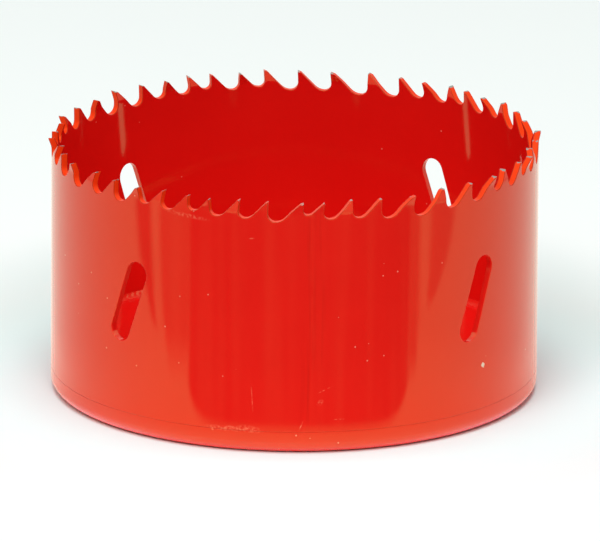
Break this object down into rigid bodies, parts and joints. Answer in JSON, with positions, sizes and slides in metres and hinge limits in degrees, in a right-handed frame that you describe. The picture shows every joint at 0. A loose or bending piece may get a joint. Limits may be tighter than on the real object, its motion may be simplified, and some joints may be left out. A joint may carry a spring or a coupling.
{
  "type": "hole saw",
  "caption": "Cup-shaped toothed steel saw with a threaded backing plate and slanted slug slots, for cutting round holes on a power drill.",
  "frame": {"origin": "centre of the backing plate's outer face, on the saw's axis of rotation, where the saw stands teeth up", "axes": "+Z along the axis of rotation from the backing plate to the tooth tips; the butt weld of the strip is near -Y"},
  "size_m": [0.0886, 0.0885, 0.0465],
  "materials": {
    "lacquered_strip": "gloss red lacquer over cold-rolled bi-metal strip, ground bare at the tooth tips",
    "lacquered_plate": "gloss red lacquer over turned steel plate",
    "lacquered_weld": "gloss red lacquer over a weld left as laid"
  },
  "bodies": {
    "root": {"toothed_shell": "lacquered_strip", "backing_plate": "lacquered_plate", "corner_weld": "lacquered_weld"}
  },
  "joints": []
}
